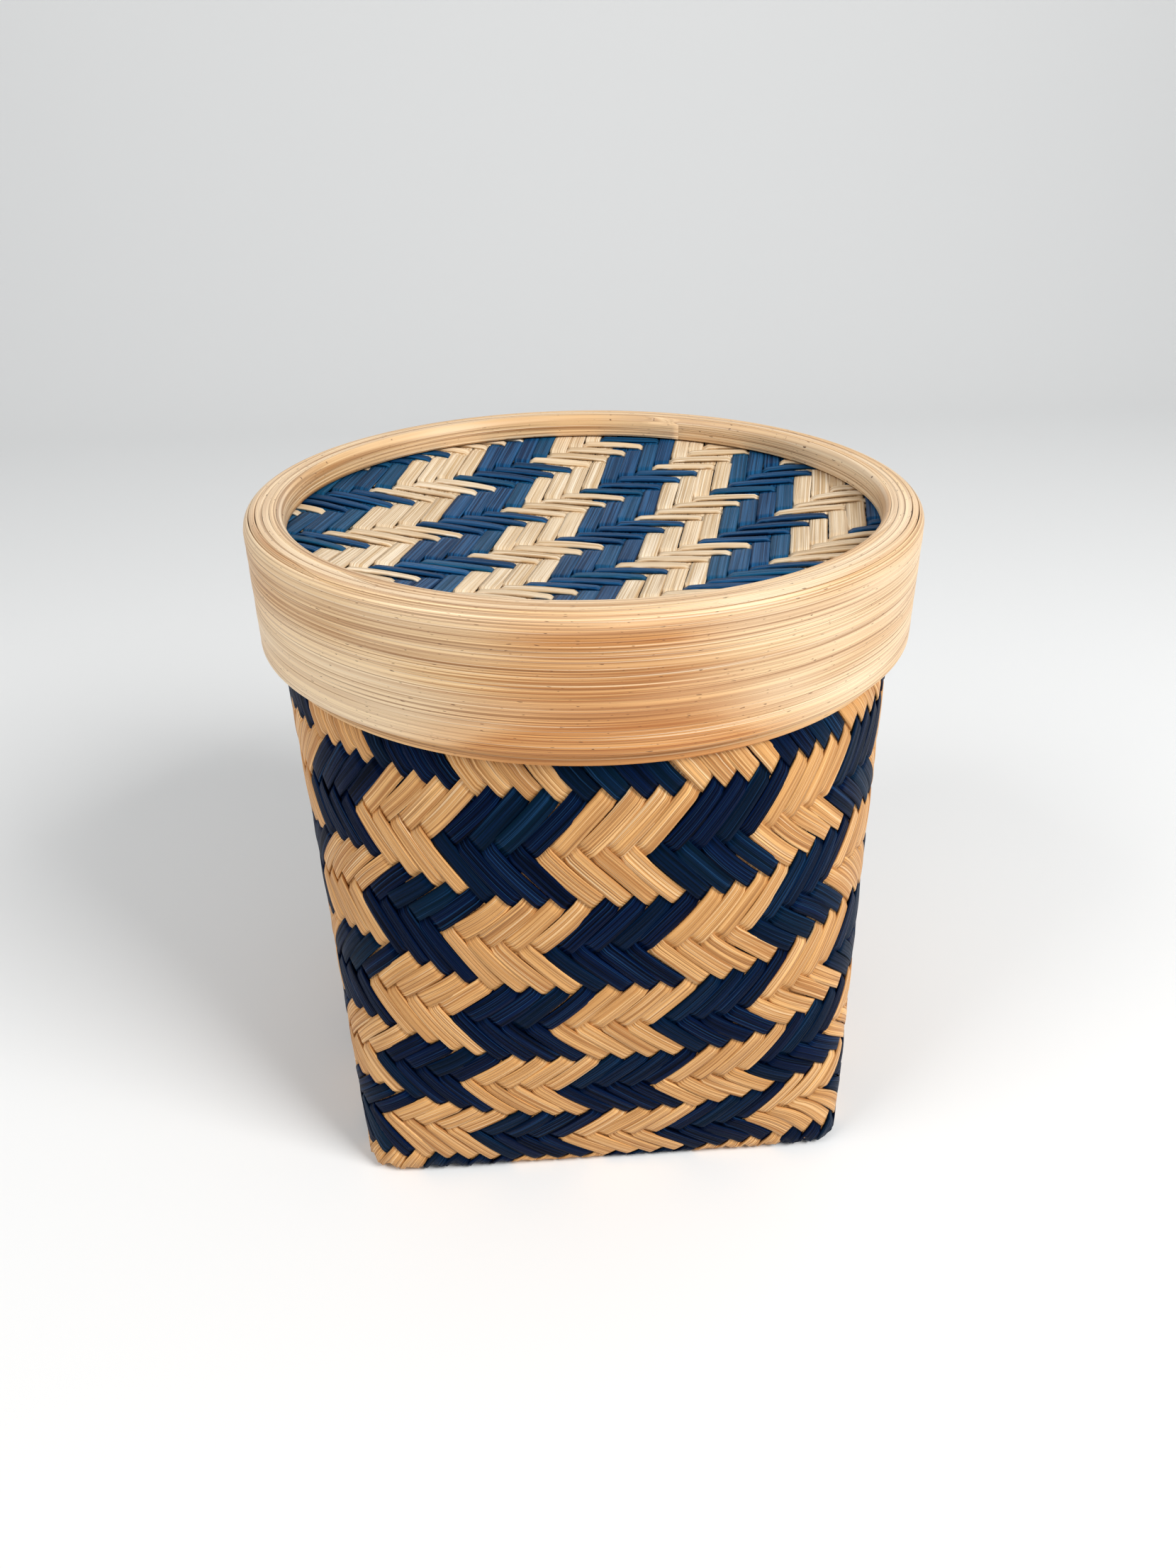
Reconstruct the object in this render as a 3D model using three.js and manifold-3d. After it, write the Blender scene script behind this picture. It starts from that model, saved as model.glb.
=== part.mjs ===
// A plaited bamboo basket with a lift-off lid. The body rises from a square base to a round
// mouth that is clamped between two bent hoops. The lid is a nest of bent bamboo plies round
// a dished, plaited panel. Millimetres, +Z up, origin at the middle of the base's underside.
import * as THREE from 'three';
import { mergeVertices } from 'three/addons/utils/BufferGeometryUtils.js';
import Module from 'manifold-3d';

const wasm = await Module();
wasm.setup();

// Plaited body: outside of the splints
const basketHeight = 186;
const baseHalfSide = 79.4;
const mouthRadius = 94.15;
const bellySwell = 0.85;
const plaitThickness = 2.2;
const baseEdgeRounding = 2.5;

// Squareness of a section is the exponent of its superellipse: 2 is a circle
const baseSquareness = 17;
const roundSquareness = 2;
const swellShare = 0.84;
const roundingShare = 0.91;
const insideLevelShares = [0.82, 0.5, 0.2];

// The plait's relief. Splints of two leans cross in a twill, so that rows of parallel floats
// crown a little and dip in zigzags between the rows. A place on it is counted in crossings,
// across from the middle of the front and up from the fold at the base
const splintsRound = 80;
const floatCrossings = 4;
const floatRows = 10;
const crossingsUp = 21.4;
const firstCrossing = 0.1;
const foldHeight = 1.5;
const crownRise = 0.2;
const crossingDip = 0.9;
const topRowSetback = 2.2;
const lowRowShare = 0.687;
const frontCrowding = 0.458;
const cornerCrowding = 0.28;
const columnLean = 0.04;
const cornerLift = 12.2;
const liftNarrowing = 4;
const liftAside = 0.35;
const liftStart = { from: -1.5, to: 2 };
const liftEnd = { from: 13, to: 22 };
const cornerSnap = 0.15;

// Hoops that clamp the mouth
const bodyHoopThickness = 1.65;
const outerHoopDepth = 25;
const innerHoopDepth = 20;

// Lid: plies are counted from the outside in
const plyThickness = 1.65;
const glueLine = 0.3;
const lidClearance = 0.3;
const lidSkirtDepth = 38.5;
const skirtSetback = 1.2;
const skirtSlant = 1;
const skirtSlantDirection = Math.PI / 2;
const innerPlyCount = 4;
const recessDepth = 8.3;
const rimOuterRounding = 4;
const rimInnerRounding = 2;
const skirtEdgeRounding = 0.8;

// Lid panel and the hoop under it that rests on the basket's rim
const panelThickness = 1.8;
const panelSag = 8.5;
const panelRingShares = [0, 0.35, 0.62, 0.83, 1];

// The panel's plait: columns of floats turned a little from the front, rows of floats across
// them, and the relief dying out where the rim plies clamp it
const panelPitch = 5.5;
const panelTurn = THREE.MathUtils.degToRad(-14.1);
const panelColumnStart = 13;
const panelRowStart = 2.15;
const panelCrownRise = 0.3;
const panelDip = 0.6;
const reliefEndShares = { from: 0.88, to: 0.99 };
const stopHoopThickness = 3.6;
const stopHoopDepth = 6.8;
const seatClearance = 0.3;

// Every hoop is a strip bent round until its tapered ends meet in a scarf
const scarfRun = 14;
const scarfGap = 0.3;
const scarfSteps = 4;
const cutOverrun = 2;
const easedEdgeShare = 0.25;

// Facets round the axis
const segments = 52;
const outlineSteps = 720;
const outlineLevels = 24;

// Sizes that follow from those above
const bellyRadius = mouthRadius + bellySwell;
const outerHoopInner = mouthRadius + glueLine;
const outerHoopOuter = outerHoopInner + bodyHoopThickness;
const innerHoopOuter = mouthRadius - plaitThickness - glueLine;
const innerHoopInner = innerHoopOuter - bodyHoopThickness;
const backingInner = outerHoopOuter + lidClearance;
const bandInner = backingInner + plyThickness + glueLine;
const lidRadius = bandInner + plyThickness;
const nestRadius = backingInner - glueLine;
const plyStep = plyThickness + glueLine;
const recessRadius = nestRadius - innerPlyCount * plyStep + glueLine;
const stopHoopBottom = basketHeight + seatClearance;
const panelUnderside = stopHoopBottom + stopHoopDepth + glueLine;
const panelEdgeTop = panelUnderside + panelThickness;
const overallHeight = panelEdgeTop + recessDepth;
const hoopBottom = basketHeight - outerHoopDepth;
const innerHoopBottom = basketHeight - innerHoopDepth;

const hoopBamboo = new THREE.Color(0xd8a566);
const rimBamboo = new THREE.Color(0xdfb478);
const splintBamboo = new THREE.Color(0xcb9c5f);
const dyedBamboo = new THREE.Color(0x1c3a5e);
const scrapedRoughness = 0.5;
const splitRoughness = 0.62;

function named(name, geometry, color, roughness = scrapedRoughness) {
  const material = new THREE.MeshStandardMaterial({ color, roughness, metalness: 0 });
  const mesh = new THREE.Mesh(geometry, material);
  mesh.name = name;
  return mesh;
}

function weld(geometry) {
  geometry.deleteAttribute('normal');
  geometry.deleteAttribute('uv');
  return mergeVertices(geometry);
}

function toSolid(geometry) {
  const merged = weld(geometry);
  const vertProperties = new Float32Array(merged.attributes.position.array);
  const triVerts = new Uint32Array(merged.index.array);
  return new wasm.Manifold(new wasm.Mesh({ numProp: 3, vertProperties, triVerts }));
}

function fromSolid(solid) {
  const mesh = solid.getMesh();
  const geometry = new THREE.BufferGeometry();
  geometry.setAttribute('position', new THREE.BufferAttribute(mesh.vertProperties, 3));
  geometry.setIndex(new THREE.BufferAttribute(mesh.triVerts, 1));
  geometry.computeVertexNormals();
  return geometry;
}

// Plaited body: a superellipse outline goes from nearly square at the base to round at the
// mouth, and the skin folds over at the rim and comes down the inside, closed all over
function squarenessAt(level) {
  const flat = 1 / baseSquareness;
  return 1 / (flat + (1 / roundSquareness - flat) * level ** roundingShare);
}

function outlineRadius(angle, level) {
  const squareness = squarenessAt(level);
  const c = Math.abs(Math.cos(angle)) ** squareness;
  const s = Math.abs(Math.sin(angle)) ** squareness;
  return 1 / (c + s) ** (1 / squareness);
}

// Angles that divide the outline of a level into even steps, from the middle of the front
function evenSteps(level) {
  const angles = [];
  const lengths = [0];
  const last = new THREE.Vector2();
  for (let i = 0; i <= outlineSteps; i += 1) {
    angles.push((i / outlineSteps - 1 / 4) * 2 * Math.PI);
    const radius = outlineRadius(angles[i], level);
    const point = new THREE.Vector2(radius * Math.cos(angles[i]), radius * Math.sin(angles[i]));
    if (i > 0) lengths.push(lengths[i - 1] + point.distanceTo(last));
    last.copy(point);
  }
  let i = 0;
  return angles.map((_, step) => {
    const goal = (lengths[outlineSteps] * step) / outlineSteps;
    while (i + 1 < outlineSteps && lengths[i + 1] < goal) i += 1;
    const part = (goal - lengths[i]) / (lengths[i + 1] - lengths[i]);
    return THREE.MathUtils.lerp(angles[i], angles[i + 1], part);
  });
}

const evenAngles = [];
for (let row = 0; row <= outlineLevels; row += 1) evenAngles.push(evenSteps(row / outlineLevels));

function outlineAngle(cells, level) {
  const column = THREE.MathUtils.euclideanModulo(cells / splintsRound, 1) * outlineSteps;
  const row = Math.min(outlineLevels - 1, Math.floor(level * outlineLevels));
  const before = Math.min(outlineSteps - 1, Math.floor(column));
  const [low, high] = [evenAngles[row], evenAngles[row + 1]].map((angles) => (
    THREE.MathUtils.lerp(angles[before], angles[before + 1], column - before)
  ));
  return THREE.MathUtils.lerp(low, high, level * outlineLevels - row);
}

// A point of the skin, from its place round the outline, its height and how far it stands out
function skinPoint({ cells, height, outset }) {
  const wall = hoopBottom - baseEdgeRounding;
  const level = THREE.MathUtils.clamp((height - baseEdgeRounding) / wall, 0, 1);
  const swell = baseHalfSide + (bellyRadius - baseHalfSide) * level ** swellShare;
  const halfWidth = (level < 1 ? swell : mouthRadius) + outset;
  const angle = outlineAngle(cells, level);
  const radius = halfWidth * outlineRadius(angle, level);
  return new THREE.Vector3(radius * Math.cos(angle), radius * Math.sin(angle), height);
}

function loop(height, outset) {
  return Array.from({ length: splintsRound + 1 }, (_, cells) => ({ cells, height, outset }));
}

function band(lower, upper) {
  return lower.slice(1).flatMap((_, i) => [
    [lower[i], lower[i + 1], upper[i + 1]],
    [lower[i], upper[i + 1], upper[i]],
  ]);
}

// Where the hands leave a crossing: rows a little closer low down and lifted towards the
// corners, columns closer at the front and at the corners and leaning as they climb
function crossing(across, up, outset) {
  const side = splintsRound / 4;
  let cells = across - columnLean * up;
  cells -= frontCrowding * Math.sin((4 * Math.PI * across) / splintsRound);
  cells += cornerCrowding * Math.sin((2 * Math.PI * across) / side);
  const corner = (Math.round(cells / side - 1 / 2) + 1 / 2) * side;
  if (Math.abs(cells - corner) < cornerSnap) cells = corner;
  const share = up / crossingsUp;
  const climb = (hoopBottom - foldHeight) * share * (lowRowShare + (1 - lowRowShare) * share);
  const lift = cornerLift * Math.sin((Math.PI * (cells - liftAside)) / side) ** liftNarrowing
    * THREE.MathUtils.smoothstep(up, liftStart.from, liftStart.to)
    * (1 - THREE.MathUtils.smoothstep(up, liftEnd.from, liftEnd.to));
  const height = Math.min(foldHeight + climb + lift, hoopBottom - topRowSetback);
  return { cells, height, outset };
}

function zigzag(row, halves) {
  const up = firstCrossing + (row * floatCrossings) / 2 + (halves % 2 === 0 ? 0 : 1 / 2);
  return crossing(halves / 2, up, -crossingDip);
}

// Even rows lean to the left and odd ones to the right
function rowLean(row) {
  return row % 2 === 0 ? -1 : 1;
}

function crown(row, float) {
  const up = firstCrossing + (row * floatCrossings) / 2 + (floatCrossings + 1) / 4;
  return crossing(float + (rowLean(row) * (floatCrossings - 1)) / 4, up, crownRise);
}

// A row of floats between two zigzags, each float a low crown with six faces
function rowOfFloats(row) {
  const lean = rowLean(row);
  const faces = [];
  for (let float = 0; float < splintsRound; float += 1) {
    const rim = [1, 0, -1].map((halves) => zigzag(row, 2 * float + lean * halves));
    for (const halves of [2, 1, 0]) {
      rim.push(zigzag(row + 1, 2 * float + lean * (floatCrossings - halves)));
    }
    rim.forEach((place, i) => {
      const pair = [place, rim[(i + 1) % rim.length]];
      if (lean > 0) pair.reverse();
      faces.push([crown(row, float), ...pair]);
    });
  }
  return faces;
}

function firstRowEdge(foot) {
  return foot.slice(1).flatMap((_, i) => [
    [foot[i], zigzag(0, 2 * i + 1), zigzag(0, 2 * i)],
    [foot[i], foot[i + 1], zigzag(0, 2 * i + 1)],
    [foot[i + 1], zigzag(0, 2 * i + 2), zigzag(0, 2 * i + 1)],
  ]);
}

// The last row runs in under the outer hoop, and its crowns are level
function lastRowEdge() {
  const mouth = (cells) => ({ cells, height: hoopBottom, outset: 0 });
  const faces = [];
  for (let float = 0; float < splintsRound; float += 1) {
    const [left, low, right] = [-1, 0, 1].map((halves) => zigzag(floatRows, 2 * float + halves));
    const peak = crown(floatRows, float);
    const next = crown(floatRows, float + 1);
    const above = [mouth(float - 2), mouth(float - 1)];
    faces.push([peak, left, low], [peak, low, right], [peak, right, next]);
    faces.push([peak, next, above[1]], [peak, above[1], above[0]]);
  }
  return faces;
}

// A face that a corner of the basket runs through is cut there, so that the corner stays crisp
function cutAtCorner(face) {
  const side = splintsRound / 4;
  const corner = (Math.floor(Math.min(...face.map(({ cells }) => cells)) / side - 1 / 2) + 3 / 2) * side;
  const cut = (p, q) => {
    const share = (corner - p.cells) / (q.cells - p.cells);
    return {
      cells: corner,
      height: THREE.MathUtils.lerp(p.height, q.height, share),
      outset: THREE.MathUtils.lerp(p.outset, q.outset, share),
    };
  };
  const crosses = (p, q) => (p.cells - corner) * (q.cells - corner) < 0;
  const starts = [0, 1, 2].map((i) => [face[i], face[(i + 1) % 3], face[(i + 2) % 3]]);
  const lone = starts.find(([a, b, c]) => crosses(a, b) && crosses(c, a));
  if (lone) {
    const [a, b, c] = lone;
    return [[a, cut(a, b), cut(c, a)], [cut(a, b), b, c], [cut(a, b), c, cut(c, a)]];
  }
  const halved = starts.find(([a, b]) => crosses(a, b));
  if (halved) {
    const [a, b, c] = halved;
    return [[a, cut(a, b), c], [cut(a, b), b, c]];
  }
  return [face];
}

function wovenBody() {
  const cornerDrop = baseEdgeRounding * (1 - Math.SQRT1_2);
  const foot = loop(cornerDrop, -cornerDrop);
  const wall = [...firstRowEdge(foot), ...lastRowEdge()];
  for (let row = 0; row < floatRows; row += 1) wall.push(...rowOfFloats(row));

  const base = loop(0, -baseEdgeRounding);
  const floor = loop(plaitThickness, -baseEdgeRounding - plaitThickness);
  const inside = insideLevelShares.map((share) => (
    loop(baseEdgeRounding + (hoopBottom - baseEdgeRounding) * share, -plaitThickness)
  ));
  const lining = [
    loop(hoopBottom, 0),
    loop(basketHeight, 0),
    loop(basketHeight, -plaitThickness),
    loop(hoopBottom, -plaitThickness),
    ...inside,
    loop(baseEdgeRounding + plaitThickness, -plaitThickness),
    loop(cornerDrop + plaitThickness, -plaitThickness - cornerDrop),
    floor,
  ];
  const faces = [...band(base, foot), ...wall.flatMap(cutAtCorner)];
  for (let i = 0; i + 1 < lining.length; i += 1) faces.push(...band(lining[i], lining[i + 1]));
  const points = faces.map((face) => face.map(skinPoint));
  const under = new THREE.Vector3(0, 0, 0);
  const over = new THREE.Vector3(0, 0, plaitThickness);
  for (let i = 0; i < splintsRound; i += 1) {
    points.push([under, skinPoint(base[i + 1]), skinPoint(base[i])]);
    points.push([over, skinPoint(floor[i]), skinPoint(floor[i + 1])]);
  }
  const skin = mergeVertices(new THREE.BufferGeometry().setFromPoints(points.flat()));
  skin.computeVertexNormals();
  return skin;
}

// A ring turned from a closed profile of [radius, height] points
function turned(profile) {
  const points = [...profile, profile[0]].map(([radius, height]) => new THREE.Vector2(radius, height));
  return new THREE.LatheGeometry(points, segments).rotateX(Math.PI / 2);
}

// The scarf: a thin gap that slants through the bent strip, from its inside face to its outside
function withScarf(geometry, inner, outer, bottom, top, seamAngle) {
  const side = (offset) => Array.from({ length: scarfSteps + 1 }, (_, i) => {
    const share = i / scarfSteps;
    const angle = ((share - 1 / 2) * scarfRun) / outer;
    const radius = THREE.MathUtils.lerp(inner - scarfGap, outer + scarfGap, share) + offset;
    return new THREE.Vector2(radius * Math.cos(angle), radius * Math.sin(angle));
  });
  const outline = new THREE.Shape([...side(scarfGap / 2), ...side(-scarfGap / 2).reverse()]);
  const depth = top - bottom + 2 * cutOverrun;
  const cutter = new THREE.ExtrudeGeometry(outline, { depth, steps: 1, bevelEnabled: false })
    .translate(0, 0, bottom - cutOverrun)
    .rotateZ(seamAngle);
  return fromSolid(toSolid(geometry).subtract(toSolid(cutter)));
}

function plainHoop(inner, thickness, bottom, depth, seamAngle, easedShare = easedEdgeShare) {
  const outer = inner + thickness;
  const top = bottom + depth;
  const eased = thickness * easedShare;
  const ring = turned([
    [inner, bottom],
    [outer - eased, bottom],
    [outer, bottom + eased],
    [outer, top - eased],
    [outer - eased, top],
    [inner, top],
  ]);
  return withScarf(ring, inner, outer, bottom, top, seamAngle);
}

// The rim's crown: a rounding on each edge of the nest of plies, level between them
function crownHeight(radius) {
  const outside = radius - (lidRadius - rimOuterRounding);
  const inside = recessRadius + rimInnerRounding - radius;
  let drop = 0;
  if (outside > 0) drop = rimOuterRounding - Math.sqrt(Math.max(0, rimOuterRounding ** 2 - outside ** 2));
  if (inside > 0) drop = rimInnerRounding - Math.sqrt(Math.max(0, rimInnerRounding ** 2 - inside ** 2));
  return overallHeight - drop;
}

function crownedPly(inner, bottom, edgeRounding, seamAngle) {
  const outer = inner + plyThickness;
  const middle = (inner + outer) / 2;
  const ring = turned([
    [inner, bottom],
    [outer - edgeRounding, bottom],
    [outer, bottom + edgeRounding],
    [outer, crownHeight(outer)],
    [middle, crownHeight(middle)],
    [inner, crownHeight(inner)],
  ]);
  return withScarf(ring, inner, outer, bottom - skirtSlant, overallHeight, seamAngle);
}

// The skirt's lower edge is trimmed a little out of square, highest at the front
function skirtPly(inner, bottom, seamAngle) {
  const ply = crownedPly(inner, bottom, skirtEdgeRounding, seamAngle);
  const place = ply.attributes.position;
  for (let i = 0; i < place.count; i += 1) {
    if (place.getZ(i) < basketHeight) {
      const angle = Math.atan2(place.getY(i), place.getX(i)) + skirtSlantDirection;
      place.setZ(i, place.getZ(i) + skirtSlant * Math.cos(angle));
    }
  }
  return ply;
}

function panelHeight(radius) {
  const share = Math.min(1, radius / recessRadius);
  return panelEdgeTop - panelSag * (1 - share ** 2);
}

// A crossing of the panel, columns counted to the right and rows to the front
function panelPoint(column, row, outset) {
  const point = new THREE.Vector3(
    panelColumnStart + column * panelPitch,
    panelRowStart - row * panelPitch,
    0,
  ).applyAxisAngle(new THREE.Vector3(0, 0, 1), panelTurn);
  const radius = Math.hypot(point.x, point.y);
  const fade = THREE.MathUtils.smoothstep(radius / recessRadius, reliefEndShares.from, reliefEndShares.to);
  return point.setZ(panelHeight(radius) + outset * (1 - fade));
}

// Floats of the panel's twill as outlines of crossings, those of the columns and of the rows
function panelFloats() {
  const reach = Math.ceil((nestRadius + panelColumnStart) / panelPitch / floatCrossings + 1) * floatCrossings;
  const long = floatCrossings;
  const floats = [];
  for (let i = -reach; i <= reach; i += 1) {
    for (let turn = -2 * reach; turn <= 2 * reach; turn += 2 * long) {
      const start = turn - i;
      floats.push([[i, start], [i + 1, start], [i + 1, start + long - 1],
        [i + 1, start + long], [i, start + long], [i, start + 1]].reverse());
      floats.push([[start + long, i], [start + long, i + 1], [start + 2 * long - 1, i + 1],
        [start + 2 * long, i + 1], [start + 2 * long, i], [start + long + 1, i]]);
    }
  }
  const limit = nestRadius + (long + 1) * panelPitch;
  return floats.filter((outline) => outline.every(([column, row]) => (
    panelPoint(column, row, 0).setZ(0).length() < limit
  )));
}

// The plaited disc: a block with the plait on top, cut by a turned disc with the dished underside
function dishedPanel() {
  const radii = [...panelRingShares.map((share) => share * recessRadius), nestRadius];
  const under = radii.map((radius) => new THREE.Vector2(radius, panelHeight(radius) - panelThickness));
  const above = [new THREE.Vector2(nestRadius, overallHeight), new THREE.Vector2(0, overallHeight)];
  const disc = new THREE.LatheGeometry([...under, ...above], segments).rotateX(Math.PI / 2);

  const triangles = [];
  const edges = new Map();
  for (const outline of panelFloats()) {
    const peak = [0, 1].map((k) => outline.reduce((sum, place) => sum + place[k], 0) / outline.length);
    outline.forEach((place, i) => {
      const next = outline[(i + 1) % outline.length];
      triangles.push([panelPoint(...peak, panelCrownRise), panelPoint(...place, -panelDip),
        panelPoint(...next, -panelDip)]);
      edges.set([place, next].join(), [place, next]);
    });
  }
  const floorHeight = panelUnderside - panelSag - cutOverrun;
  const dropped = (point) => point.clone().setZ(floorHeight);
  const lower = triangles.map(([a, b, c]) => [dropped(a), dropped(c), dropped(b)]);
  const sides = [];
  for (const [place, next] of edges.values()) {
    if (edges.has([next, place].join())) continue;
    const [a, b] = [place, next].map((corner) => panelPoint(...corner, -panelDip));
    sides.push([a, dropped(a), dropped(b)], [a, dropped(b), b]);
  }
  const block = new THREE.BufferGeometry().setFromPoints([...triangles, ...lower, ...sides].flat());
  return fromSolid(toSolid(disc).intersect(toSolid(block)));
}

// Basket: the plaited body and the two hoops round its mouth
const outerHoopSeam = THREE.MathUtils.degToRad(144);
const innerHoopSeam = THREE.MathUtils.degToRad(54);
const basket = new THREE.Group();
basket.add(
  named('woven_body', wovenBody(), splintBamboo, splitRoughness),
  named(
    'body_outer_hoop',
    plainHoop(outerHoopInner, bodyHoopThickness, hoopBottom, outerHoopDepth, outerHoopSeam),
    hoopBamboo,
  ),
  named(
    'body_inner_hoop',
    plainHoop(innerHoopInner, bodyHoopThickness, innerHoopBottom, innerHoopDepth, innerHoopSeam, 0),
    hoopBamboo,
  ),
);

// Lid: two skirt plies, four rim plies above the panel, the panel and the stop hoop under it
const skirtBottom = overallHeight - lidSkirtDepth;
const bandSeam = THREE.MathUtils.degToRad(112);
const backingSeam = THREE.MathUtils.degToRad(216);
const stopSeam = THREE.MathUtils.degToRad(333);
const firstPlySeam = THREE.MathUtils.degToRad(126);
const plySeamTurn = THREE.MathUtils.degToRad(99);
const lid = new THREE.Group();
lid.add(
  named('lid_outer_band', skirtPly(bandInner, skirtBottom, bandSeam), hoopBamboo),
  named('lid_backing_band', skirtPly(backingInner, skirtBottom + skirtSetback, backingSeam), hoopBamboo),
  named('lid_woven_panel', dishedPanel(), dyedBamboo, splitRoughness),
  named(
    'lid_stop_hoop',
    plainHoop(nestRadius - stopHoopThickness, stopHoopThickness, stopHoopBottom, stopHoopDepth, stopSeam, 0),
    hoopBamboo,
  ),
);
for (let i = 0; i < innerPlyCount; i += 1) {
  const inner = nestRadius - i * plyStep - plyThickness;
  const seamAngle = firstPlySeam + i * plySeamTurn;
  const ply = crownedPly(inner, panelEdgeTop + glueLine, 0, seamAngle);
  lid.add(named(`lid_rim_ply_${i + 1}`, ply, rimBamboo));
}

const liddedBasket = new THREE.Group();
liddedBasket.add(basket, lid);
export default liddedBasket;
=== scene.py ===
"""A plaited bamboo basket with a square base, a round mouth and a lift-off lid. Metres, +Z up."""
import math

import bmesh
import bpy
import numpy as np
from mathutils import Matrix, Vector, noise


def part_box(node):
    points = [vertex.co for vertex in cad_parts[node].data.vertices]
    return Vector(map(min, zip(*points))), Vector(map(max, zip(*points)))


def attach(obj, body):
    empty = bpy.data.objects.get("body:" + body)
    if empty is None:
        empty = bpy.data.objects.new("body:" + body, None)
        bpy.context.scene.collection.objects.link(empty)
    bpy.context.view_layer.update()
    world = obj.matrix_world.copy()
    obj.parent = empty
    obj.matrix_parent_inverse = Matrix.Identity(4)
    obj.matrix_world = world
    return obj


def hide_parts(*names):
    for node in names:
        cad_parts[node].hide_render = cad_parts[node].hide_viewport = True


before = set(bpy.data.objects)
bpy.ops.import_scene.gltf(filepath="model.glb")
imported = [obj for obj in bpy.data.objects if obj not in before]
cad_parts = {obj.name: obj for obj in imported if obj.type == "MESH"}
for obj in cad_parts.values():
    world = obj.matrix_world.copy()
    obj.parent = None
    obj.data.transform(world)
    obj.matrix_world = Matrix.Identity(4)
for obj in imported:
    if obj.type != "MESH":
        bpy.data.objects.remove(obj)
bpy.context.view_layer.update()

# Plaited body. Split bamboo about 5 mm wide, half of it dyed navy, is plaited on the bias in a
# twill of four over and four under: 80 splints climb to the left and 80 to the right, and the
# same splints run on under the base, where they meet end to end along its diagonals.
splints_round = 80
side_splints = splints_round / 4
splints_to_colour = 4
twill_repeat = 2 * splints_to_colour
splint_thickness = 0.0007
splint_clearance = 0.00006
plait_thickness = 0.0022

base_half_side = 0.0794
belly_radius = 0.095
mouth_radius = 0.09415
rim_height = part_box("woven_body")[1].z
hoop_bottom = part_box("body_outer_hoop")[0].z
fold_radius = 0.002
base_squareness = 17
round_squareness = 2
swell_share = 0.84
rounding_share = 0.91
draw_in_height = 0.003
outline_steps = 1440
wall_levels = 33


def eased(share):
    """Goes smoothly from 0 to 1 as the share does."""
    share = np.clip(share, 0, 1)
    return share * share * (3 - 2 * share)


def outline_radius(angle, level):
    """Radius of a section whose half width is 1; level is 0 at the base and 1 at the mouth."""
    flat = 1 / base_squareness
    squareness = 1 / (flat + (1 / round_squareness - flat) * level**rounding_share)
    return (abs(np.cos(angle)) ** squareness + abs(np.sin(angle)) ** squareness) ** (-1 / squareness)


def outline_angles():
    """For levels from the square base to the round mouth, the angle at each share of the way round."""
    turns = np.linspace(0, 2 * np.pi, outline_steps + 1)
    shares = np.linspace(0, 1, outline_steps + 1)
    rows = []
    for level in np.linspace(0, 1, wall_levels):
        radius = outline_radius(turns, level)
        x, y = radius * np.cos(turns), radius * np.sin(turns)
        length = np.concatenate([[0], np.cumsum(np.hypot(np.diff(x), np.diff(y)))])
        rows.append(np.interp(shares, length / length[-1], turns))
    return np.array(rows)


angle_rows = outline_angles()


def outline_point(cells, level):
    """Point on the outline of half width 1, cells splints to the right of the middle of the front."""
    column = (cells / splints_round % 1) * outline_steps
    row = level * (wall_levels - 1)
    left = np.minimum(column.astype(int), outline_steps - 1)
    under = np.minimum(row.astype(int), wall_levels - 2)
    rightwards = column - left
    upwards = row - under
    low = angle_rows[under, left] * (1 - rightwards) + angle_rows[under, left + 1] * rightwards
    high = angle_rows[under + 1, left] * (1 - rightwards) + angle_rows[under + 1, left + 1] * rightwards
    angle = low * (1 - upwards) + high * upwards
    radius = outline_radius(angle, level)
    return radius * np.sin(angle), -radius * np.cos(angle)


half_fold = fold_radius * np.pi / 4


def plait_middle(cells, climb, side):
    """Point in the middle of the plait, climb metres up the wall from the base's fold, or in under
    the base where climb is negative. side counts the base's sides from the front."""
    turn = np.clip((climb + half_fold) / fold_radius, 0, np.pi / 2)
    inset = fold_radius * (1 - np.sin(turn))
    height = plait_thickness / 2 + fold_radius * (1 - np.cos(turn)) + np.maximum(0, climb - half_fold)
    level = np.clip((height - fold_radius) / (hoop_bottom - fold_radius), 0, 1)
    half_width = base_half_side + (belly_radius - base_half_side) * level**swell_share
    half_width += (mouth_radius - belly_radius) * eased((height - hoop_bottom) / draw_in_height + 1)
    x, y = outline_point(cells, level)
    reach = half_width - plait_thickness / 2 - inset
    depth = np.maximum(0, -climb - half_fold)
    outward = side * np.pi / 2
    return np.stack([x * reach - depth * np.sin(outward), y * reach + depth * np.cos(outward), height], -1)


# Places in the plait are counted in crossings, across from the middle of the front and up from
# the fold at the base. A splint's number and the start of its lean give its place on the fold
left_lean_start = -0.6
right_lean_start = 3.6
base_cell = 2 * base_half_side / side_splints
wall_cell = 0.00512
wall_cell_growth = 0.000109
rim_climb = rim_height - plait_thickness / 2 - fold_radius * (1 - np.pi / 4)
lattice_top = math.sqrt(wall_cell**2 + 4 * wall_cell_growth * rim_climb) - wall_cell
lattice_top /= 2 * wall_cell_growth
front_corner = 10.5
side_corner = 29.5
front_crowding = 0.458
corner_crowding = 0.28
column_lean = 0.04
corner_lift = 0.0122
lift_aside = 0.35
lift_narrowing = 4
lift_start = (-1.5, 2)
lift_end = (13, 22)


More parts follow.
